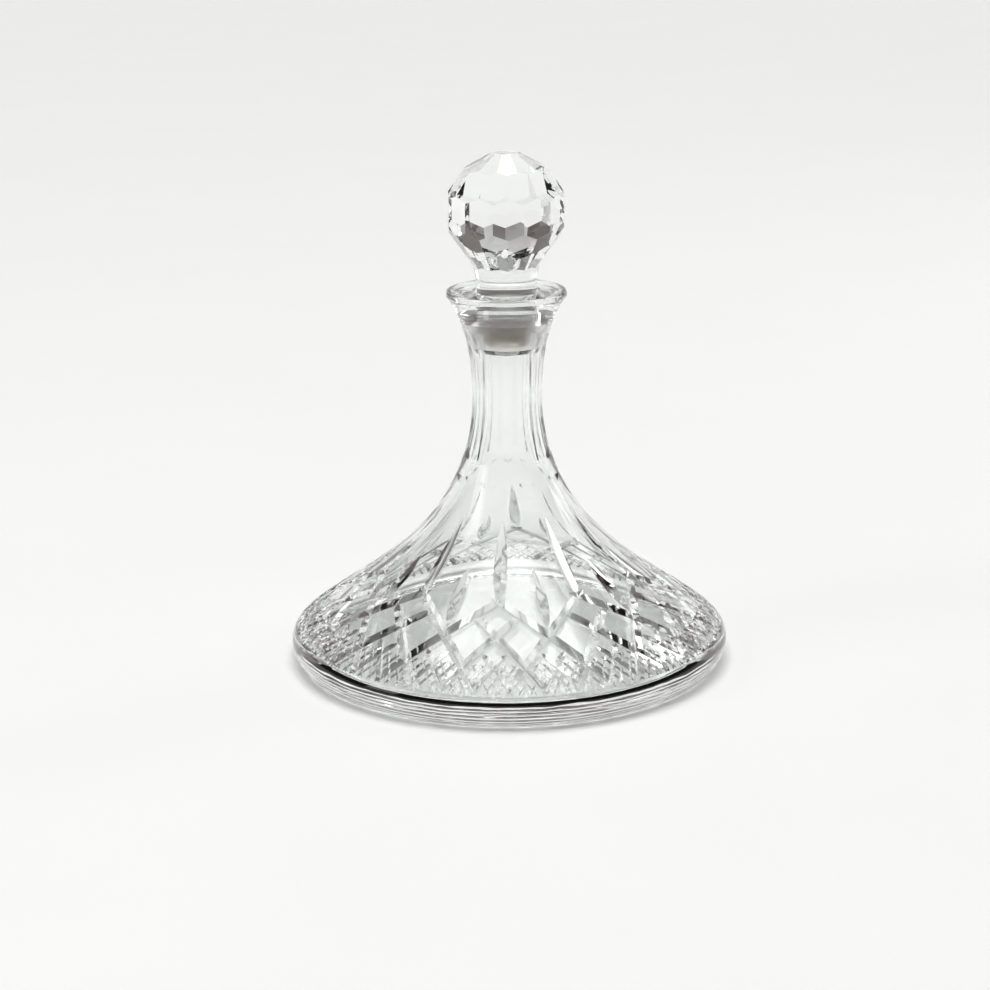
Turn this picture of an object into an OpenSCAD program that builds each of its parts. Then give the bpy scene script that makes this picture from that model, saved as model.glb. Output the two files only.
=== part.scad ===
// Cut crystal ship's decanter: a wide-footed blown vessel with a wheel-cut band,
// a fluted neck and a faceted ball stopper that lifts out of its ground seat.
// Millimetres, +Z up, origin on the table under the middle of the foot.

/* [Vessel] */
// Widest diameter, just above the foot
body_d = 200; // [170:1:240]
// Diameter of the foot where it meets the table
foot_d = 189; // [160:1:192]
// Height of the widest line above the table
belly_z = 9; // [7:0.5:11]
// Height where the rounded edge turns into the shoulder
shoulder_z = 14.8; // [13:0.1:18]
// Height of the lip above the table
vessel_h = 171; // [150:1:205]
// Outside diameter of the neck where it is narrowest
neck_d = 31.6; // [30:0.2:38]
// How far the neck's narrowest line is below the lip
neck_drop = 50; // [48:1:56]
// Outside diameter of the lip
lip_d = 54; // [46:1:60]
// Height of the lip's upright edge
lip_edge_h = 2.4; // [1.5:0.1:4]
// Height of the flare under the lip
flare_h = 44; // [34:1:47]

/* [Glass] */
// Wall thickness at the shoulder
shoulder_wall = 6.4; // [5:0.2:8]
// Wall thickness at the neck
neck_wall = 5.2; // [4.6:0.1:6]
// Thickness of the base
base_t = 9; // [7:0.5:10]
// Depth of the ground hollow under the foot
punt_depth = 2.2; // [1.2:0.2:3.5]
// Width of the flat ring that the foot rests on
foot_ring_w = 7; // [4:0.5:12]

/* [Stopper] */
// Distance between opposite upright facets of the ball
ball_d = 50.6; // [42:0.2:58]
// Number of facets in each row round the ball
facet_count = 12; // [8:1:16]
// Turn of the ball's facets about the axis, in degrees
facet_turn = 2.6; // [0:0.1:45]
// Height of the ball's middle above the lip
ball_rise = 35.2; // [31:0.2:40]
// Diameter of the collar under the ball
collar_d = 29; // [27:0.5:34]
// Depth of the ground seat in the mouth
seat_depth = 25; // [24:0.5:32]
// Diameter of the ground seat at the lip
seat_top_d = 27.4; // [25:0.2:29]
// Diameter of the ground seat at its lower end
seat_low_d = 24.4; // [23:0.1:25.2]
// How far the peg reaches below the lip
peg_depth = 23; // [16:0.5:23.5]
// Clearance between peg and seat, measured on the radius
seat_gap = 0.15; // [0.08:0.01:0.4]

/* [Cutting] */
// Number of flat flutes round the neck
flute_count = 8; // [6:1:10]
// How far below the lip the flutes end
flute_length = 86; // [70:1:92]
// How far below the lip the flutes begin
flute_drop = 15; // [12:0.5:20]
// Number of lozenge points round the shoulder
point_count = 10; // [8:1:12]
// Turn of the pattern about the axis, in degrees
pattern_turn = -94.5; // [-180:0.5:180]
// Depth of the crossing mitre lines
mitre_depth = 1.9; // [1:0.1:2.2]
// Depth of the half-way lines in the lowest band
diamond_depth = 1.3; // [0.6:0.1:1.4]
// Height where the half-way lines start
diamond_z = 28; // [22:0.2:30]
// Depth of the long leaf above each point
spire_depth = 2.1; // [1:0.1:2.4]
// Height of the long leaf above the point
spire_h = 30; // [24:1:40]
// Depth of the leaf in each valley
leaf_depth = 2.4; // [1:0.1:2.5]
// How far the valley leaf rises above the points
leaf_h = 11; // [6:0.5:14]
// How far the valley leaf starts below the points
valley_drop = 9; // [7:0.5:10]
// Height of the lozenge points above the table
point_z = 44; // [40:1:48]
// How far below the points the side lines start
side_drop = 4; // [3:0.5:6]
// Height where the mitre lines run out
mitre_end_z = 15.2; // [15:0.2:20]

/* [Hidden] */
$fn = 96;

body_r = body_d / 2;
foot_r = foot_d / 2;
neck_r = neck_d / 2;
neck_z = vessel_h - neck_drop;
flare_z = vessel_h - flare_h;
bore_r = neck_r - neck_wall;
seat_z = vessel_h - seat_depth;
outline_steps = 22;

// Shoulder: one cubic curve from the rounded edge up to the neck
shoulder_start = [body_r - 2, shoulder_z];
shoulder_pull = [body_r * 0.75, shoulder_z + 20.9];
neck_pull = [neck_r + 1.4, shoulder_z + 43.7];
shoulder_end = [neck_r, neck_z];

function bezier(p, t) = pow(1 - t, 3) * p[0] + 3 * pow(1 - t, 2) * t * p[1]
    + 3 * (1 - t) * pow(t, 2) * p[2] + pow(t, 3) * p[3];
function bezier_slope(p, t) = 3 * pow(1 - t, 2) * (p[1] - p[0])
    + 6 * (1 - t) * t * (p[2] - p[1]) + 3 * pow(t, 2) * (p[3] - p[2]);
function unit(v) = v / norm(v);
// Inward normal of a curve that runs upwards, seen in the radius-height plane
function inward(slope) = unit([-slope[1], slope[0]]);

shoulder_curve = [shoulder_start, shoulder_pull, neck_pull, shoulder_end];
flare_curve = [[neck_r, flare_z], [neck_r + 0.8, flare_z + flare_h * 0.32],
    [lip_d / 2 - 8.5, vessel_h - flare_h * 0.3], [lip_d / 2, vessel_h - lip_edge_h]];
edge_curve = [[foot_r, 0], [body_r - 1, belly_z * 0.35],
    [body_r + 2.3, belly_z * 1.05], shoulder_start];

function steps(n) = [for (i = [0 : n]) i / n];
function curve(p, n) = [for (t = steps(n)) bezier(p, t)];
function thickened(p, n, wall_a, wall_b) = [for (t = steps(n))
    bezier(p, t) + (wall_a + (wall_b - wall_a) * t) * inward(bezier_slope(p, t))];

outer_points = concat(curve(edge_curve, 8), curve(shoulder_curve, outline_steps),
    curve(flare_curve, 8));
inner_points = thickened(shoulder_curve, outline_steps, shoulder_wall, neck_wall);

// Radius and outward normal of the outside at a height
outer_by_z = [for (p = concat(curve(shoulder_curve, 60), curve(flare_curve, 12))) [p[1], p[0]]];
function outside_r(z) = lookup(z, outer_by_z);
function surface_normal(z) = unit([1, (outside_r(z - 1) - outside_r(z + 1)) / 2]);

module vessel_outline() {
    lip_round = lip_edge_h / 2;
    polygon(concat([[0, 0]], outer_points, [[lip_d / 2, vessel_h - lip_round],
        [lip_d / 2 - lip_round * 0.3, vessel_h - lip_round * 0.3],
        [lip_d / 2 - lip_round, vessel_h], [0, vessel_h]]));
}

module hollow_outline() {
    floor_r = inner_points[0][0] - 6;
    corner = curve([[floor_r, base_t], [floor_r + 3.5, base_t],
        inner_points[1] + [2.6, -2.4], inner_points[1]], 5);
    wall_points = [for (i = [2 : outline_steps]) inner_points[i]];
    polygon(concat([[0, base_t]], corner, wall_points,
        [[bore_r, seat_z - 2], [seat_low_d / 2, seat_z], [seat_top_d / 2, vessel_h],
        [seat_top_d / 2 + 0.6, vessel_h + 1], [0, vessel_h + 1]]));
}

module punt_outline() {
    punt_r = foot_r - foot_ring_w;
    polygon([[0, -1], [punt_r, -1], [punt_r, 0], [punt_r - punt_depth * 2, punt_depth],
        [0, punt_depth]]);
}

function on_surface(turn, z) = let (r = outside_r(z)) [r * cos(turn), r * sin(turn), z];
function outward(turn, z) = let (n = surface_normal(z))
    [n[0] * cos(turn), n[0] * sin(turn), n[1]];

// A straight V-shaped trench on the shoulder between two places, each [angle, height],
// as deep as asked under the middle place
module mitre_cut(from, middle, to, depth) {
    start = on_surface(from[0], from[1]);
    end = on_surface(to[0], to[1]);
    along = unit(end - start);
    side = unit(cross(outward(middle[0], middle[1]), along));
    up = cross(along, side);
    bulge = (on_surface(middle[0], middle[1]) - start) * up;
    base = start + up * (bulge - depth);
    reach = depth + mitre_lift;
    half_w = reach * tan(mitre_half_angle);
    multmatrix([for (k = [0 : 2]) [side[k], up[k], along[k], base[k]]])
        linear_extrude(norm(end - start))
            polygon([[0, 0], [half_w, reach], [-half_w, reach]]);
}

// A pointed leaf between two heights, cut by an upright wheel with a V edge
module leaf_cut(turn, low_z, high_z, depth) {
    low = [outside_r(low_z), low_z];
    high = [outside_r(high_z), high_z];
    half_chord = norm(high - low) / 2;
    chord_out = unit([high[1] - low[1], low[0] - high[0]]);
    mid_z = (low_z + high_z) / 2;
    dip = ((low + high) / 2 - [outside_r(mid_z), mid_z]) * chord_out;
    rise = depth + dip;
    wheel_r = (half_chord * half_chord + rise * rise) / (2 * rise);
    centre = (low + high) / 2 + chord_out * (wheel_r - rise);
    half_w = leaf_wheel_t / 2;
    rim_r = wheel_r - half_w / tan(leaf_half_angle);
    rotate([0, 0, turn])
        translate([centre[0], 0, centre[1]])
            rotate([90, 0, 0])
                rotate_extrude()
                    polygon([[0, -half_w], [rim_r, -half_w], [wheel_r, 0], [rim_r, half_w],
                        [0, half_w]]);
}

// A straight cut on the shoulder swings outwards as a straight line does on a cone
mitre_reach = body_r * 0.485;
cone_factor = 0.81;
function swing(z) = (acos(min(1, mitre_reach / outside_r(z)))
    - acos(min(1, mitre_reach / outside_r(point_z)))) / cone_factor;
module mitre_line(turn, sense, start_z, depth) {
    middle_z = (start_z + mitre_end_z) / 2;
    mitre_cut([turn + sense * swing(start_z), start_z],
        [turn + sense * swing(middle_z), middle_z],
        [turn + sense * swing(mitre_end_z), mitre_end_z], depth + sense * crossing_offset);
}

column = 180 / point_count;
mitre_half_angle = 50;
mitre_lift = 2.2;
leaf_half_angle = 56;
leaf_wheel_t = 12;
// How far above its point a line starts, because its end is too shallow to show
point_tail = 1.6;
// One family of lines goes this much deeper, so that each crossing is clean
crossing_offset = 0.05;

module mitre_lines() {
    for (i = [0 : point_count * 2 - 1], sense = [-1, 1])
        mitre_line(pattern_turn + i * column, sense,
            i % 2 == 0 ? point_z + point_tail : point_z - side_drop, mitre_depth);
}

// Half-way lines in the lowest band turn its lozenges into small diamonds
module diamond_lines() {
    for (i = [0 : point_count * 2 - 1], sense = [-1, 1])
        mitre_line(pattern_turn + (i + 0.5) * column, sense, diamond_z, diamond_depth);
}

module leaves() {
    for (i = [0 : point_count - 1]) {
        turn = pattern_turn + 2 * i * column;
        leaf_cut(turn, point_z + 0.5, point_z + spire_h, spire_depth);
        leaf_cut(turn + column, point_z - valley_drop, point_z + leaf_h, leaf_depth);
    }
}

// Flat flutes that follow the neck and fade out in arches at both ends
flute_overlap = 1.16;
flute_inset = flute_overlap * (1 - cos(180 / flute_count));
function fade(x) = pow(sin(90 * max(0, min(1, x))), 2);
function flute_floor(z) = outside_r(z) * (1 - flute_inset
    * fade((z - flute_low_z) / flute_fade_low) * fade((flute_top_z - z) / flute_fade_top));
flute_low_z = vessel_h - flute_length;
flute_top_z = vessel_h - flute_drop;
flute_fade_low = 14;
flute_fade_top = 7;

module neck_flutes() {
    heights = [for (t = steps(14)) flute_low_z + (flute_top_z - flute_low_z) * t];
    for (i = [0 : flute_count - 1])
        rotate([0, 0, (i + 0.5) * 360 / flute_count])
            rotate([90, 0, 0])
                linear_extrude(neck_d * 1.5, center = true)
                    polygon(concat([for (z = heights) [flute_floor(z), z]],
                        [[body_r, flute_top_z + 4], [body_r, flute_low_z]]));
}

module decanter_body() {
    color([0.86, 0.9, 0.89, 0.6])
        difference() {
            rotate_extrude() vessel_outline();
            rotate_extrude() hollow_outline();
            rotate_extrude() punt_outline();
            neck_flutes();
            mitre_lines();
            diamond_lines();
            leaves();
        }
}

// Rows of flat facets on the ball: tilt above level, and shift as a share of one facet
facet_rows = [[0, 0], [34, 0.5], [60, 0], [-34, 0.5]];
ball_r = ball_d / 2;
// Radius of the round blank that the facets are cut from
ball_blank_r = ball_r * 1.07;
ball_z = vessel_h + ball_rise;

module faceted_ball() {
    intersection() {
        sphere(r = ball_blank_r, $fn = 128);
        cube([ball_d * 1.2, ball_d * 1.2, ball_d], center = true);
        intersection_for (row = facet_rows)
            ball_row(row[0], row[1]);
    }
}

module ball_row(tilt, shift) {
    reach = ball_r * 3;
    intersection_for (i = [0 : facet_count - 1])
        rotate([0, 0, facet_turn + (i + shift) * 360 / facet_count - 90])
            rotate([0, -tilt, 0])
                translate([ball_r - reach, -reach / 2, -reach / 2])
                    cube(reach);
}

module stopper() {
    collar_r = collar_d / 2;
    collar_waist = 0.8;
    seat_slope = (seat_top_d - seat_low_d) / 2 / seat_depth;
    function peg_r(drop) = seat_top_d / 2 - seat_gap - seat_slope * drop;
    peg_rise = 0.8;
    peg_chamfer = 0.8;
    peg_top = vessel_h + peg_rise;
    color([0.86, 0.9, 0.89, 0.6]) {
        translate([0, 0, ball_z]) faceted_ball();
        rotate_extrude()
            polygon([[0, vessel_h - peg_depth],
                [peg_r(peg_depth) - peg_chamfer, vessel_h - peg_depth],
                [peg_r(peg_depth - peg_chamfer), vessel_h - peg_depth + peg_chamfer],
                [peg_r(-peg_rise), peg_top],
                [collar_r - collar_waist, peg_top + 1.6], [collar_r - collar_waist, peg_top + 5],
                [collar_r, peg_top + 9], [collar_r, ball_z - ball_r * 0.6],
                [0, ball_z - ball_r * 0.6]]);
    }
}

decanter_body();
stopper();
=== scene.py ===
# %% [markdown]
# # A cut crystal ship's decanter
# The real object is two pieces of lead crystal. The vessel is blown into a mould with a very
# wide foot, so that it stays put on a rolling ship, and a wheel then cuts lines, leaves and
# flutes into its outside. The stopper is one solid piece: a faceted ball on a ground peg.
# This script makes both in the order that a glass house does: blow, cut, polish. It begins
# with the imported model, whose box every piece has to fit.

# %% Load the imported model
import math

import bmesh
import bpy
import numpy as np
from mathutils import Matrix, Vector


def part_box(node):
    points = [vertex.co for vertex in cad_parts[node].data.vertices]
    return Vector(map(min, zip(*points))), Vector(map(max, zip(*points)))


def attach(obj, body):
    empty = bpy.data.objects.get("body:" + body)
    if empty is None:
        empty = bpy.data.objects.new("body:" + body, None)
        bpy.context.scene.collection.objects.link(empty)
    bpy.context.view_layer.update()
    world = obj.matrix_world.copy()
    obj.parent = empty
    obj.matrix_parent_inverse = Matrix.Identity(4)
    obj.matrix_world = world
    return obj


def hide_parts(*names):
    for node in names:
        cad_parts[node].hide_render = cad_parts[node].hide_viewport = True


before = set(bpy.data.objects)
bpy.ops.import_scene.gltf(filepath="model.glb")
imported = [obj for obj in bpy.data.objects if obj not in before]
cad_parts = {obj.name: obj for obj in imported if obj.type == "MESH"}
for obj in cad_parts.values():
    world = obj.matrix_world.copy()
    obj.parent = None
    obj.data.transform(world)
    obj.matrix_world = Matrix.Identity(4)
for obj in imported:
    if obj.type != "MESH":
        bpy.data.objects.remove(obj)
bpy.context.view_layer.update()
vessel_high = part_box("decanter_body")[1]
stopper_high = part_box("stopper")[1]

# %% [markdown]
# ## The camera
# It stands about a metre away and looks down on the shoulder, so the lip and the foot both
# show as ellipses. A long lens keeps them calm. The small turn and roll are those of a camera
# on a tripod that nobody levelled.

# %% Place the camera
CAMERA_PLACE = Vector((0, -1.0787, 0.3932))
LOOK_DOWN, TURN, ROLL = 0.2862, -0.0055, 0.0097
LENS_MM = 89.84


def place_camera():
    forward = Vector((math.sin(TURN) * math.cos(LOOK_DOWN), math.cos(TURN) * math.cos(LOOK_DOWN),
                      -math.sin(LOOK_DOWN)))
    level = Vector((math.cos(TURN), -math.sin(TURN), 0))
    upright = level.cross(forward)
    right = math.cos(ROLL) * level - math.sin(ROLL) * upright
    up = math.sin(ROLL) * level + math.cos(ROLL) * upright
    camera = bpy.data.objects.new("camera", bpy.data.cameras.new("camera"))
    camera.data.lens = LENS_MM
    camera.data.sensor_width = 36
    camera.data.clip_end = 50
    turn = Matrix((right, up, -forward)).transposed().to_4x4()
    camera.matrix_world = Matrix.Translation(CAMERA_PLACE) @ turn
    bpy.context.scene.collection.objects.link(camera)
    bpy.context.scene.camera = camera
    return camera


print("camera at", tuple(place_camera().location))

# %% [markdown]
# ## Shader maths
# A material is easier to read as a sum than as a web of nodes. `Socket` wraps one output of a
# node, and its operators add the Math node that the sign stands for. `NodeShop` makes every
# other kind of node from its type, its settings and the values or links of its sockets.

# %% A socket that can be added and multiplied
class Socket:
    def __init__(self, shop, link):
        self.shop, self.link = shop, link

    def maths(self, operation, *others):
        return self.shop.node("ShaderNodeMath", {"operation": operation}, [self, *others])

    def __add__(self, other):
        return self.maths("ADD", other)

    def __sub__(self, other):
        return self.maths("SUBTRACT", other)

    def __rsub__(self, other):
        return self.shop.node("ShaderNodeMath", {"operation": "SUBTRACT"}, [other, self])

    def __mul__(self, other):
        return self.maths("MULTIPLY", other)

    def __gt__(self, other):
        return self.maths("GREATER_THAN", other)

    def __lt__(self, other):
        return self.maths("LESS_THAN", other)

    __radd__ = __add__
    __rmul__ = __mul__


class NodeShop:
    def __init__(self, tree):
        self.tree = tree
        tree.nodes.clear()

    def node(self, kind, settings=None, inputs=None, output=0):
        made = self.tree.nodes.new(kind)
        for name, value in (settings or {}).items():
            if name == "stops":
                self.set_stops(made.color_ramp, value)
            else:
                setattr(made, name, value)
        pairs = inputs.items() if isinstance(inputs, dict) else enumerate(inputs or [])
        for name, value in pairs:
            if isinstance(value, Socket):
                self.tree.links.new(value.link, made.inputs[name])
            else:
                made.inputs[name].default_value = value
        return Socket(self, made.outputs[output]) if made.outputs else made

    @staticmethod
    def set_stops(ramp, stops):
        while len(ramp.elements) < len(stops):
            ramp.elements.new(1)
        for element, (place, colour) in zip(ramp.elements, stops):
            element.position, element.color = place, (*colour, 1)


def new_material(name):
    material = bpy.data.materials.new(name)
    material.use_nodes = True
    return material, NodeShop(material.node_tree)


print("shader helpers ready")

# %% [markdown]
# ## The studio
# Clear glass has no colour of its own, so it only shows what stands around it. A photographer
# lights it with a bright field: a white table and a white surround low down, which fill the
# body, a dark brown band of room above that, which the edges and the ball's lower facets pick
# up, and a grey ceiling with one bright patch overhead. The surround here is the same from
# every side, so the glass reads the same all round.

# %% The room: white low down, brown above it, grey overhead
ROOM_STOPS = [(0.0, (0.19, 0.19, 0.19)), (0.17, (0.185, 0.185, 0.185)),
              (0.23, (0.024, 0.0185, 0.0175)), (0.42, (0.024, 0.0185, 0.0175)),
              (0.5, (0.06, 0.06, 0.058)), (0.88, (0.05, 0.05, 0.048)), (0.93, (1, 1, 1))]
ROOM_STRENGTH = 4.5


def light_room():
    world = bpy.data.worlds.new("room")
    world.use_nodes = True
    shop = NodeShop(world.node_tree)
    direction = shop.node("ShaderNodeTexCoord")
    height = shop.node("ShaderNodeSeparateXYZ", inputs=[direction], output=2)
    colour = shop.node("ShaderNodeValToRGB", {"stops": ROOM_STOPS}, [height])
    light = shop.node("ShaderNodeBackground", inputs=[colour, ROOM_STRENGTH])
    shop.node("ShaderNodeOutputWorld", inputs=[light])
    bpy.context.scene.world = world


light_room()
print("room lit")

# %% The soft boxes
def hang_softbox(name, place, size, watts):
    lamp = bpy.data.lights.new(name, "AREA")
    lamp.shape, lamp.size, lamp.size_y, lamp.energy = "RECTANGLE", size[0], size[1], watts
    box = bpy.data.objects.new(name, lamp)
    box.location = place
    box.rotation_mode = "QUATERNION"
    box.rotation_quaternion = (Vector(place) - Vector((0, 0, 0.1))).to_track_quat("Z", "Y")
    bpy.context.scene.collection.objects.link(box)


hang_softbox("left_box", (-1.3, -0.5, 0.9), (0.5, 1.0), 3)
hang_softbox("right_box", (1.2, 0.7, 0.8), (0.35, 1.0), 2)
print("soft boxes hung")

# %% The table top
FLOOR_DROP = 0.0002
FLOOR_REACH = 14


def lay_floor():
    mesh = bpy.data.meshes.new("table_top")
    corners = [(-1, -1), (1, -1), (1, 1), (-1, 1)]
    mesh.from_pydata([(x * FLOOR_REACH, y * FLOOR_REACH, -FLOOR_DROP) for x, y in corners], [],
                     [(0, 1, 2, 3)])
    floor = bpy.data.objects.new("table_top", mesh)
    bpy.context.scene.collection.objects.link(floor)
    material, shop = new_material("pale_laminate")
    place = shop.node("ShaderNodeTexCoord", output=3)
    mottle = shop.node("ShaderNodeTexNoise", inputs={"Vector": place, "Scale": 9.0})
    tone = shop.node("ShaderNodeMix", {"data_type": "RGBA"},
                     {0: mottle, 6: (0.86, 0.865, 0.86, 1), 7: (0.88, 0.88, 0.875, 1)}, output=2)
    surface = shop.node("ShaderNodeBsdfPrincipled",
                        inputs={"Base Color": tone, "Roughness": 0.6, "Specular IOR Level": 0.2})
    shop.node("ShaderNodeOutputMaterial", inputs=[surface])
    mesh.materials.append(material)
    return floor


print("table top:", lay_floor().name)

# %% [markdown]
# ## The crystal
# Lead crystal bends light more than window glass, and that is what makes it sparkle. Three
# finishes of the same glass appear on this object. The blown skin is fire-polished and barely
# wavy. The cuts were left by a stone wheel and polished in acid, so they are a touch softer.
# The lower part of the seat and of the peg that fits it is ground with emery and stays
# frosted. There the glass is also given a painted grey-brown shade, which stands for the dark
# brown room that the frosted glass reflects. The thick rounded edge at the foot has a shorter
# ripple from the mould.

# %% One recipe for the crystal
CRYSTAL_IOR = 1.545
CRYSTAL_TINT = (0.974, 0.988, 0.98, 1)
# Painted shade: this grey-brown stands for the dark brown room that the ground glass reflects. It
# is not a colour of the crystal.
PAINTED_ROOM_SHADE = (0.5, 0.47, 0.43, 1)
SKIN_ROUGHNESS, CUT_ROUGHNESS, GROUND_ROUGHNESS = 0.002, 0.1, 0.42
WAVE_SCALE, WAVE_HEIGHT = 22.0, 0.00012
RIPPLE_SCALE, RIPPLE_HEIGHT = 70.0, 0.0001
GRIT_SCALE, GRIT_HEIGHT = 2600.0, 0.00006


def crystal(name, ground_from, ground_to, ground_radius):
    material, shop = new_material(name)
    place = shop.node("ShaderNodeTexCoord", output=3)
    x, y, z = (shop.node("ShaderNodeSeparateXYZ", inputs=[place], output=i) for i in range(3))
    radius = (x * x + y * y).maths("SQRT")
    ground = (z > ground_from) * (z < ground_to) * (radius < ground_radius)
    cut = shop.node("ShaderNodeAttribute", {"attribute_name": "wheel_cut"}, output=2)
    roughness = SKIN_ROUGHNESS + cut * CUT_ROUGHNESS + ground * GROUND_ROUGHNESS
    wave = shop.node("ShaderNodeTexNoise",
                     inputs={"Vector": place, "Scale": WAVE_SCALE, "Detail": 1.0})
    grit = shop.node("ShaderNodeTexNoise", inputs={"Vector": place, "Scale": GRIT_SCALE})
    ripple = shop.node("ShaderNodeTexNoise",
                       inputs={"Vector": place, "Scale": RIPPLE_SCALE, "Detail": 1.0})
    height = wave * (1 - ground) * WAVE_HEIGHT + grit * ground * GRIT_HEIGHT
    height = height + ripple * (z < SHOULDER_Z) * RIPPLE_HEIGHT
    bump = shop.node("ShaderNodeBump", inputs={"Height": height, "Distance": 1.0})
    # Where the glass is ground, its colour becomes the painted grey-brown shade. Elsewhere it keeps
    # the crystal's own faint tint.
    tint_and_painted_shade = shop.node("ShaderNodeMix", {"data_type": "RGBA"},
                     {0: ground, 6: CRYSTAL_TINT, 7: PAINTED_ROOM_SHADE}, output=2)
    surface = shop.node("ShaderNodeBsdfPrincipled", inputs={
        "Base Color": tint_and_painted_shade, "Roughness": roughness, "IOR": CRYSTAL_IOR,
        "Transmission Weight": 1.0, "Normal": bump})
    shop.node("ShaderNodeOutputMaterial", inputs=[surface])
    return material


print("light is", CRYSTAL_IOR, "times slower in the crystal than in air")

# %% [markdown]
# ## The shape of the vessel
# Half of the vessel's outline is enough, because a blown vessel is round. Three curves follow
# each other: the rounded edge over the foot, the long hollow shoulder, and the flare under the
# lip. Each is a cubic curve with two handles, the way a mould maker would draw it.

# %% Curves of the outline, in metres
MM = 0.001
BODY_R = 100 * MM
FOOT_R = 94.5 * MM
BELLY_Z = 9 * MM
SHOULDER_Z = 14.8 * MM
VESSEL_H = vessel_high.z
NECK_R = 15.8 * MM
NECK_Z = VESSEL_H - 50 * MM
FLARE_H = 44 * MM
FLARE_Z = VESSEL_H - FLARE_H
LIP_R = 27 * MM
LIP_EDGE_H = 2.4 * MM


def bezier(points, steps):
    t = np.linspace(0, 1, steps + 1)[:, None]
    a, b, c, d = (np.array(p) for p in points)
    return (1 - t) ** 3 * a + 3 * (1 - t) ** 2 * t * b + 3 * (1 - t) * t ** 2 * c + t ** 3 * d


EDGE = [(FOOT_R, 0), (BODY_R - MM, BELLY_Z * 0.35), (BODY_R + 2.3 * MM, BELLY_Z * 1.05),
        (BODY_R - 2 * MM, SHOULDER_Z)]
SHOULDER = [(BODY_R - 2 * MM, SHOULDER_Z), (BODY_R * 0.75, SHOULDER_Z + 20.9 * MM),
            (NECK_R + 1.4 * MM, SHOULDER_Z + 43.7 * MM), (NECK_R, NECK_Z)]
FLARE = [(NECK_R, FLARE_Z), (NECK_R + 0.8 * MM, FLARE_Z + FLARE_H * 0.32),
         (LIP_R - 8.5 * MM, VESSEL_H - FLARE_H * 0.3), (LIP_R, VESSEL_H - LIP_EDGE_H)]
outside = np.vstack([bezier(EDGE, 44), bezier(SHOULDER, 84)[1:], bezier(FLARE, 30)])
print("outline points outside:", len(outside), "widest", outside[:, 0].max())

# %% Radius and normal of the outside at any height
fine = np.vstack([bezier(EDGE, 60), bezier(SHOULDER, 400)[1:], bezier(FLARE, 80)])
slope = np.gradient(fine, axis=0)
slope /= np.linalg.norm(slope, axis=1)[:, None]


def outside_r(z):
    return float(np.interp(z, fine[:, 1], fine[:, 0]))


def outside_normal(z):
    """Outward normal as (along the radius, upwards)."""
    across = np.interp(z, fine[:, 1], slope[:, 1])
    up = -np.interp(z, fine[:, 1], slope[:, 0])
    length = math.hypot(across, up)
    return across / length, up / length


print("shoulder at 60 mm:", outside_r(0.06), outside_normal(0.06))

# %% [markdown]
# ## Blowing the vessel
# The outside comes from the mould, and the inside follows it at the wall's thickness. Turning
# the closed outline about the axis gives one watertight skin, which a cutter can then cut into
# as a wheel cuts into glass.

# %% The inside of the glass
SHOULDER_WALL, NECK_WALL = 6.4 * MM, 5.2 * MM
BASE_T = 9 * MM
BORE_R = NECK_R - NECK_WALL
SEAT_Z = VESSEL_H - 25 * MM
SEAT_LOW_R, SEAT_TOP_R = 12.2 * MM, 13.7 * MM
GROUND_TOP_Z = VESSEL_H - 13 * MM
PUNT_DEPTH, FOOT_RING_W = 2.2 * MM, 7 * MM


def inner_wall(steps):
    wall = bezier(SHOULDER, steps)
    run = np.gradient(wall, axis=0)
    run /= np.linalg.norm(run, axis=1)[:, None]
    inward = np.stack([-run[:, 1], run[:, 0]], axis=1)
    thickness = np.linspace(SHOULDER_WALL, NECK_WALL, steps + 1)[:, None]
    return wall + inward * thickness


LIP_HOLLOW, LIP_HOLLOW_W = 1.1 * MM, 3.5 * MM
MOUTH_W, MOUTH_DROP = 1.6 * MM, 0.5 * MM
OUTLINE_STEPS, CORNER_W = 8, 6 * MM


def closed_outline():
    punt_r = FOOT_R - FOOT_RING_W
    foot = [(0, PUNT_DEPTH), (punt_r - 2 * PUNT_DEPTH, PUNT_DEPTH),
            (punt_r - 0.4 * PUNT_DEPTH, 0.35 * PUNT_DEPTH), (punt_r, 0), (FOOT_R - 0.5 * MM, 0)]
    turn = np.linspace(0, math.pi / 2, 5)[1:]
    lip_round = LIP_EDGE_H / 2
    lip = [(LIP_R - lip_round + lip_round * math.cos(a),
            VESSEL_H - lip_round + lip_round * math.sin(a)) for a in turn]
    hollow_r = LIP_R - 2 * MM
    hollow = bezier([(hollow_r, VESSEL_H), (hollow_r - 1.4 * MM, VESSEL_H - 0.2 * MM),
                     (hollow_r - 1.2 * MM, VESSEL_H - LIP_HOLLOW),
                     (hollow_r - LIP_HOLLOW_W, VESSEL_H - LIP_HOLLOW)], OUTLINE_STEPS)
    mouth = [(SEAT_TOP_R + MOUTH_W, VESSEL_H - MOUTH_DROP),
             (SEAT_TOP_R + 0.4 * MM, VESSEL_H - 0.6 * MM),
             (SEAT_TOP_R, VESSEL_H - 0.9 * MM), (SEAT_LOW_R, SEAT_Z), (BORE_R, SEAT_Z - 2 * MM)]
    wall = inner_wall(60)[::-1]
    floor_r = wall[-1][0] - CORNER_W
    corner = bezier([tuple(wall[-3]), (wall[-3][0] + 2.2 * MM, wall[-3][1] - 2 * MM),
                     (floor_r + 3.5 * MM, BASE_T), (floor_r, BASE_T)], OUTLINE_STEPS)[1:]
    return np.vstack([foot, outside, lip, hollow, mouth, wall[1:-3], corner, [(0, BASE_T)]])


outline = closed_outline()
print("closed outline points:", len(outline))

# %% Turn an outline about the axis
AROUND = 240


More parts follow.
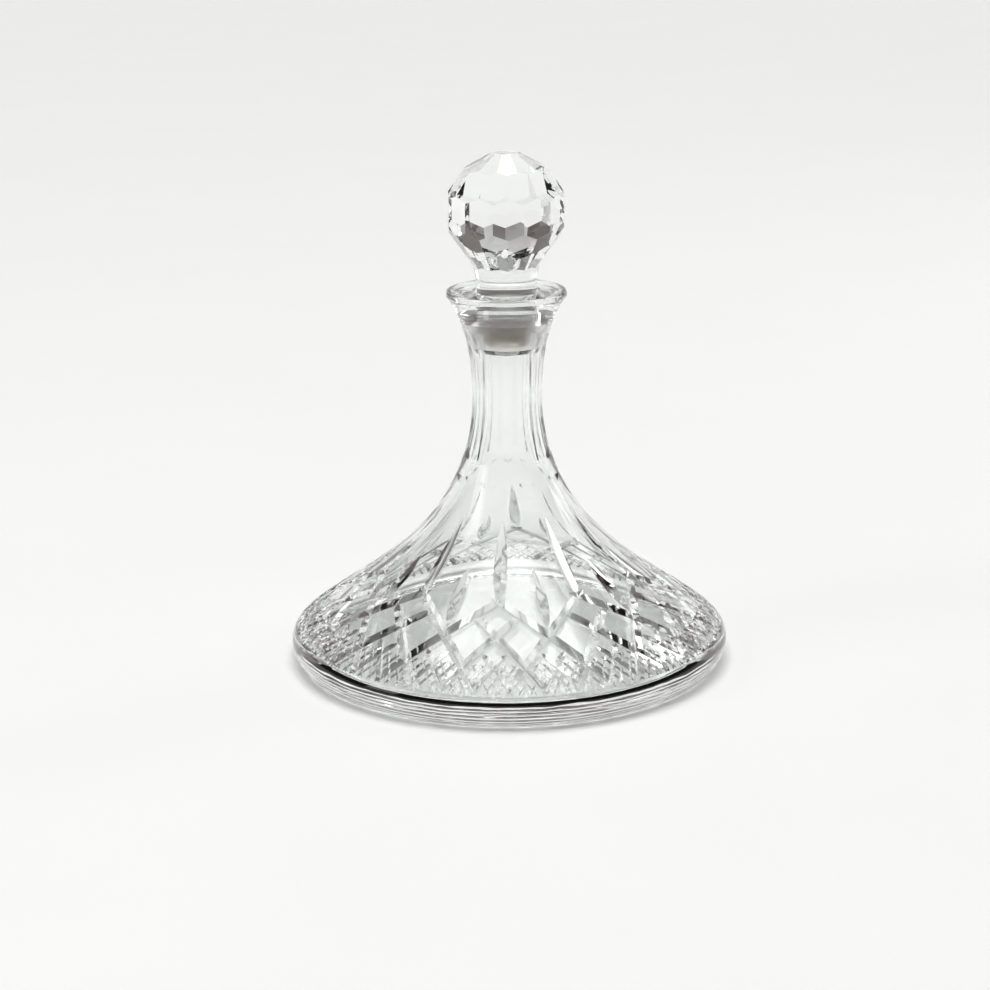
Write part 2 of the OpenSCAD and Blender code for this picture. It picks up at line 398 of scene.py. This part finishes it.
def lathe(name, points, around=AROUND):
    """A closed skin from an outline that starts and ends on the axis."""
    angles = np.linspace(0, 2 * math.pi, around, endpoint=False)
    rows = [[(r * math.cos(a), r * math.sin(a), z) for a in angles] for r, z in points[1:-1]]
    verts = [(0, 0, points[0][1])] + [v for row in rows for v in row] + [(0, 0, points[-1][1])]
    last = len(verts) - 1
    faces = []
    for i in range(around):
        j = (i + 1) % around
        faces.append((0, 1 + j, 1 + i))
        for k in range(len(rows) - 1):
            low, high = 1 + k * around, 1 + (k + 1) * around
            faces.append((low + i, low + j, high + j, high + i))
        top = 1 + (len(rows) - 1) * around
        faces.append((top + i, top + j, last))
    mesh = bpy.data.meshes.new(name)
    mesh.from_pydata(verts, [], faces)
    piece = bpy.data.objects.new(name, mesh)
    bpy.context.scene.collection.objects.link(piece)
    return piece


vessel = lathe("cut_vessel", outline)
print("vessel blank faces:", len(vessel.data.polygons))

# %% [markdown]
# ## Cutting
# A cutter holds the blank against a wheel with a V edge. Each stroke is a trench whose width
# follows its depth, so a stroke that starts and ends shallow comes out pointed. Here a stroke
# is a three-sided bar that runs along the glass: its keel lies below the surface by the depth
# of the cut and its two upper edges ride clear above it. A Boolean takes the bars away, one
# family at a time, because bars of one family never touch each other.

# %% A stroke of the wheel
CLEAR = 2.2 * MM


def stroke(heights, turns, depths, half_angle):
    """Corner points of one bar, three for each place along the stroke."""
    places = [Vector((outside_r(z) * math.cos(a), outside_r(z) * math.sin(a), z))
              for z, a in zip(heights, turns)]
    bars = []
    for i, (place, z, a, depth) in enumerate(zip(places, heights, turns, depths)):
        across, up = outside_normal(z)
        normal = Vector((across * math.cos(a), across * math.sin(a), up))
        ahead = places[min(i + 1, len(places) - 1)] - places[max(i - 1, 0)]
        side = normal.cross(ahead).normalized()
        half_w = (depth + CLEAR) * math.tan(half_angle)
        top = place + normal * CLEAR
        bars.append((place - normal * depth, top + side * half_w, top - side * half_w))
    return bars


def bar_mesh(name, strokes):
    verts, faces = [], []
    for bars in strokes:
        start = len(verts)
        verts += [corner for bar in bars for corner in bar]
        for i in range(len(bars) - 1):
            low, high = start + 3 * i, start + 3 * (i + 1)
            faces += [(low + k, low + (k + 1) % 3, high + (k + 1) % 3, high + k)
                      for k in range(3)]
        end = start + 3 * (len(bars) - 1)
        faces += [(start, start + 2, start + 1), (end, end + 1, end + 2)]
    mesh = bpy.data.meshes.new(name)
    mesh.from_pydata(verts, [], faces)
    return mesh


print("wheel ready")

# %% Take a family of bars away from the blank
def cut_away(piece, tool_mesh):
    shape = bmesh.new()
    shape.from_mesh(tool_mesh)
    bmesh.ops.recalc_face_normals(shape, faces=shape.faces)
    shape.to_mesh(tool_mesh)
    shape.free()
    tool = bpy.data.objects.new(tool_mesh.name, tool_mesh)
    bpy.context.scene.collection.objects.link(tool)
    modifier = piece.modifiers.new("cut", "BOOLEAN")
    modifier.object, modifier.operation, modifier.solver = tool, "DIFFERENCE", "MANIFOLD"
    view = bpy.context.evaluated_depsgraph_get()
    result = bpy.data.meshes.new_from_object(piece.evaluated_get(view))
    piece.modifiers.clear()
    old, piece.data = piece.data, result
    bpy.data.meshes.remove(old)
    print("cut", tool.name, "-> faces", len(result.polygons))
    bpy.data.objects.remove(tool)
    bpy.data.meshes.remove(tool_mesh)


# %% [markdown]
# ## The lines of the band
# The band is drawn on the shoulder before it is cut. Ten points stand round it, and straight
# lines leave each point to the left and right. On a cone a straight line swings round the axis
# more and more slowly as it goes down, and `swing` gives that turn. The same lines start again
# half way between the points, so they cross into lozenges. Lower down a second set doubles
# them, and a third, finer set fills the last strip with the small diamonds that sparkle.

# %% The drawing on the shoulder
POINTS = 10
COLUMN = math.pi / POINTS
PATTERN_TURN = math.radians(-94.5)
POINT_Z = 44 * MM
MITRE_END_Z = 15.2 * MM
SWING_REACH, CONE_FACTOR = 48.5 * MM, 0.81
EASE_IN, EASE_OUT = 0.14, 0.1
MITRE_HALF_ANGLE = math.radians(50)


def swing(z):
    def bearing(height):
        return math.acos(min(1, SWING_REACH / outside_r(height)))
    return (bearing(z) - bearing(POINT_Z)) / CONE_FACTOR


def wheel_in_out(t):
    """Share of the full depth: a round wheel drops in over one end and lifts out over the other."""
    def ease(x):
        x = max(0, min(1, x))
        return math.sqrt(1 - (1 - x) ** 2)
    return ease(t / EASE_IN) * ease((1 - t) / EASE_OUT)


def band_family(name, columns, sense, start_z, depth, steps=26):
    strokes = []
    for i, top in zip(columns, start_z):
        share = np.linspace(0, 1, steps)
        heights = [top + (MITRE_END_Z - top) * t for t in share]
        turns = [PATTERN_TURN + i * COLUMN + sense * swing(z) for z in heights]
        depths = [depth * wheel_in_out(t) for t in share]
        strokes.append(stroke(heights, turns, depths, MITRE_HALF_ANGLE))
    cut_away(vessel, bar_mesh(name, strokes))


print("a line swings", round(math.degrees(swing(MITRE_END_Z)), 1), "degrees on its way down")

# %% Cut the lozenges, then the small diamonds
MITRE_DEPTH, DIAMOND_DEPTH, PIP_DEPTH = 1.9 * MM, 1.3 * MM, 0.65 * MM
POINT_TAIL, SIDE_DROP = 1.6 * MM, 4 * MM
DIAMOND_Z, PIP_Z = 28 * MM, 25 * MM
columns = range(2 * POINTS)
tops = [POINT_Z + POINT_TAIL if i % 2 == 0 else POINT_Z - SIDE_DROP for i in columns]
halves = [i + 0.5 for i in columns]
sixths = [i / 6 for i in range(6 * len(columns)) if i % 3]
for sense, way in ((1, "left"), (-1, "right")):
    band_family("mitres_" + way, columns, sense, tops, MITRE_DEPTH)
    band_family("diamonds_" + way, halves, sense, [DIAMOND_Z] * len(halves), DIAMOND_DEPTH, 14)
    band_family("pips_" + way, sixths, sense, [PIP_Z] * len(sixths), PIP_DEPTH, 10)

# %% [markdown]
# ## The leaves
# Above each point stands a long leaf and in each valley a short one. A leaf is one straight
# pass of a wheel with a blunter edge: it grows wide as the wheel sinks in and closes to a tip
# as it lifts out.

# %% Cut the leaves
LEAF_HALF_ANGLE = math.radians(56)
SPIRE_DEPTH, SPIRE_H, SPIRE_FULLEST = 2.1 * MM, 30 * MM, 0.34
LEAF_DEPTH, LEAF_H, VALLEY_DROP, LEAF_FULLEST = 2.4 * MM, 11 * MM, 9 * MM, 0.45
LEAF_ROUNDING = 0.85


def leaf(turn, low, high, depth, fullest, steps=25):
    """One leaf up the shoulder, deepest at the share `fullest` of its length."""
    share = np.linspace(0, 1, steps)
    bend = math.log(0.5) / math.log(fullest)
    heights = [low + (high - low) * t for t in share]
    depths = [depth * math.sin(math.pi * t ** bend) ** LEAF_ROUNDING for t in share]
    return stroke(heights, [turn] * steps, depths, LEAF_HALF_ANGLE)


leaves = []
for i in range(POINTS):
    turn = PATTERN_TURN + 2 * i * COLUMN
    leaves.append(leaf(turn, POINT_Z + 0.5 * MM, POINT_Z + SPIRE_H, SPIRE_DEPTH, SPIRE_FULLEST))
    leaves.append(leaf(turn + COLUMN, POINT_Z - VALLEY_DROP, POINT_Z + LEAF_H, LEAF_DEPTH,
                       LEAF_FULLEST))
cut_away(vessel, bar_mesh("leaves", leaves))

# %% [markdown]
# ## The flutes
# Eight flat flutes run up the neck. The cutter holds the neck along a wide flat stone, so each
# flute is flat across and follows the neck along it. Where the stone lifts out, the flute ends
# in an arch. Neighbours meet in a crisp ridge, so they are cut in two rounds of four.

# %% Cut the flutes
FLUTES = 8
FLUTE_LOW_Z, FLUTE_TOP_Z = VESSEL_H - 86 * MM, VESSEL_H - 15 * MM
FLUTE_BITE = 1.16  # at 1, neighbouring flutes would only just meet on the skin
FLUTE_INSET = FLUTE_BITE * (1 - math.cos(math.pi / FLUTES))
FLUTE_HALF_W = 11 * MM
FLUTE_RISE, FLUTE_FALL = 16 * MM, 8 * MM
TOOL_BACK_R = BODY_R * 0.4


def flute_floor(z):
    rise = max(0, min(1, (z - FLUTE_LOW_Z) / FLUTE_RISE))
    fall = max(0, min(1, (FLUTE_TOP_Z - z) / FLUTE_FALL))
    share = (1 - (1 - rise) ** 2) * (1 - (1 - fall) ** 2)
    return outside_r(z) * (1 - FLUTE_INSET * share)


def flute_tools(name, numbers, steps=30):
    heights = [FLUTE_LOW_Z + (FLUTE_TOP_Z - FLUTE_LOW_Z) * i / steps for i in range(steps + 1)]
    side_on = [(flute_floor(z), z) for z in heights]
    side_on += [(TOOL_BACK_R, FLUTE_TOP_Z + MM), (TOOL_BACK_R, FLUTE_LOW_Z)]
    count = len(side_on)
    verts, faces = [], []
    for number in numbers:
        turn = Matrix.Rotation((number + 0.5) * 2 * math.pi / FLUTES, 4, "Z")
        start = len(verts)
        verts += [turn @ Vector((r, side, z)) for side in (-FLUTE_HALF_W, FLUTE_HALF_W)
                  for r, z in side_on]
        near, far = start, start + count
        faces += [(near + k, near + (k + 1) % count, far + (k + 1) % count, far + k)
                  for k in range(count)]
        faces += [tuple(near + k for k in range(count)),
                  tuple(far + k for k in reversed(range(count)))]
    mesh = bpy.data.meshes.new(name)
    mesh.from_pydata(verts, [], faces)
    return mesh


cut_away(vessel, flute_tools("flutes_even", range(0, FLUTES, 2)))
cut_away(vessel, flute_tools("flutes_odd", range(1, FLUTES, 2)))

# %% [markdown]
# ## Polishing
# A cut leaves small flat faces beside the blown skin. The skin's shading has to stay as round
# as the mould made it right up to the edge of a cut, or the glass looks dented. So every corner
# that lies on the skin takes its direction from the outline's own curve, and every face that
# the wheel made is marked, so that the material can give it the softer polish.

# %% Mark the cuts and shade the skin
SKIN_GAP = 0.06 * MM
CRISP = math.radians(9)
CUT_REACH = 3.2 * MM


def polish(piece):
    mesh = piece.data
    mesh.polygons.foreach_set("use_smooth", [True] * len(mesh.polygons))
    mesh.set_sharp_from_angle(angle=CRISP)
    places = np.array([v.co for v in mesh.vertices])
    radius = np.hypot(places[:, 0], places[:, 1])
    gap = np.abs(radius - np.interp(places[:, 2], fine[:, 1], fine[:, 0]))
    in_reach = (places[:, 2] > 0.5 * MM) & (places[:, 2] < VESSEL_H - LIP_EDGE_H)
    on_skin = (gap < SKIN_GAP) & in_reach & (radius > SEAT_TOP_R)
    marks = mesh.attributes.new("wheel_cut", "FLOAT", "FACE")
    directions = [(0, 0, 0)] * len(mesh.loops)
    cuts = 0
    for face in mesh.polygons:
        a = math.atan2(face.center.y, face.center.x)
        across, up = outside_normal(face.center.z)
        outward = Vector((across * math.cos(a), across * math.sin(a), up))
        if all(on_skin[v] for v in face.vertices) and face.normal.dot(outward) > math.cos(CRISP):
            for loop, v in zip(face.loop_indices, face.vertices):
                x, y, z = places[v]
                across, up = outside_normal(z)
                directions[loop] = (across * x / radius[v], across * y / radius[v], up)
        elif outside_r(face.center.z) - math.hypot(face.center.x, face.center.y) < CUT_REACH:
            if MITRE_END_Z - MM < face.center.z < FLUTE_TOP_Z + MM:
                marks.data[face.index].value = 1
                cuts += 1
    mesh.normals_split_custom_set(directions)
    print("faces:", len(mesh.polygons), "of them cut:", cuts)


polish(vessel)
vessel.data.materials.clear()
GROUND_R = SEAT_TOP_R + 0.3 * MM
vessel.data.materials.append(crystal("vessel_crystal", SEAT_Z, GROUND_TOP_Z, GROUND_R))
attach(vessel, "vessel")
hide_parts("decanter_body")

# %% [markdown]
# ## The stopper
# It is pressed and cut from one solid piece. Flat facets in rows turn the ball into a lens with
# many faces, and each one shows the room at another angle. Under the ball a short collar sits
# over the mouth, and the tapered peg below it is ground to fit the seat.

# %% Cut the ball's facets
BALL_R = 25.3 * MM
BALL_Z = stopper_high.z - BALL_R
FACETS = 12
FACET_TURN = math.radians(2.6 - 90)
FACET_ROWS = [(0, 0), (34, 0.5), (60, 0), (-34, 0.5)]


def facet_planes():
    planes = [Vector((0, 0, 1)), Vector((0, 0, -1))]
    for tilt, shift in FACET_ROWS:
        rise = math.radians(tilt)
        for i in range(FACETS):
            a = FACET_TURN + (i + shift) * 2 * math.pi / FACETS
            planes.append(Vector((math.cos(rise) * math.cos(a), math.cos(rise) * math.sin(a),
                                  math.sin(rise))))
    return planes


def faceted_ball(shape):
    bmesh.ops.create_cube(shape, size=3 * BALL_R)
    for normal in facet_planes():
        everything = shape.verts[:] + shape.edges[:] + shape.faces[:]
        cut = bmesh.ops.bisect_plane(shape, geom=everything, plane_co=normal * BALL_R,
                                     plane_no=normal, clear_outer=True)
        rim = [e for e in cut["geom_cut"] if isinstance(e, bmesh.types.BMEdge)]
        bmesh.ops.contextual_create(shape, geom=rim)
    bmesh.ops.recalc_face_normals(shape, faces=shape.faces)


shape = bmesh.new()
faceted_ball(shape)
stopper = bpy.data.objects.new("cut_stopper", bpy.data.meshes.new("cut_stopper"))
bmesh.ops.translate(shape, verts=shape.verts, vec=(0, 0, BALL_Z))
shape.to_mesh(stopper.data)
shape.free()
bpy.context.scene.collection.objects.link(stopper)
print("ball facets:", len(stopper.data.polygons))

# %% Join the collar and the peg to the ball
PEG_DEPTH, SEAT_GAP = 23 * MM, 0.15 * MM
PEG_RISE, PEG_CHAMFER = 0.8 * MM, 0.8 * MM
COLLAR_R, WAIST = 14.5 * MM, 0.8 * MM
WAIST_LOW, WAIST_TOP, COLLAR_LOW = 1.6 * MM, 5 * MM, 9 * MM
COLLAR_TOP_Z = BALL_Z - BALL_R * 0.6


def peg_outline():
    def peg_r(z):
        taper = (SEAT_TOP_R - SEAT_LOW_R) / (VESSEL_H - SEAT_Z)
        return SEAT_TOP_R - SEAT_GAP - taper * (VESSEL_H - z)

    low_z, top_z = VESSEL_H - PEG_DEPTH, VESSEL_H + PEG_RISE
    return [(0, low_z), (peg_r(low_z) - PEG_CHAMFER, low_z),
            (peg_r(low_z + PEG_CHAMFER), low_z + PEG_CHAMFER), (peg_r(top_z), top_z),
            (COLLAR_R - WAIST, top_z + WAIST_LOW), (COLLAR_R - WAIST, top_z + WAIST_TOP),
            (COLLAR_R, top_z + COLLAR_LOW), (COLLAR_R, COLLAR_TOP_Z), (0, COLLAR_TOP_Z)]


def join_to(piece, other):
    modifier = piece.modifiers.new("join", "BOOLEAN")
    modifier.object, modifier.operation, modifier.solver = other, "UNION", "MANIFOLD"
    view = bpy.context.evaluated_depsgraph_get()
    result = bpy.data.meshes.new_from_object(piece.evaluated_get(view))
    piece.modifiers.clear()
    piece.data = result
    bpy.data.objects.remove(other)


join_to(stopper, lathe("peg", np.array(peg_outline()), 96))
stopper.data.polygons.foreach_set("use_smooth", [True] * len(stopper.data.polygons))
stopper.data.set_sharp_from_angle(angle=CRISP)
stopper.data.materials.clear()
peg_ground_z = VESSEL_H - PEG_DEPTH + PEG_CHAMFER + 0.1 * MM
stopper.data.materials.append(crystal("stopper_crystal", peg_ground_z, GROUND_TOP_Z, GROUND_R))
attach(stopper, "stopper")
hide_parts("stopper")
print("stopper faces:", len(stopper.data.polygons))

# %% [markdown]
# ## The light path
# Light crosses four walls of glass before it reaches the far side of the vessel, and more in
# the cuts, so the renderer is allowed many bounces.

# %% Bounces and colour
cycles = bpy.context.scene.cycles
cycles.max_bounces = 24
cycles.transmission_bounces = 24
cycles.glossy_bounces = 8
cycles.diffuse_bounces = 3
cycles.blur_glossy = 0.2
bpy.context.scene.view_settings.view_transform = "Standard"
print("light bounces:", cycles.max_bounces)
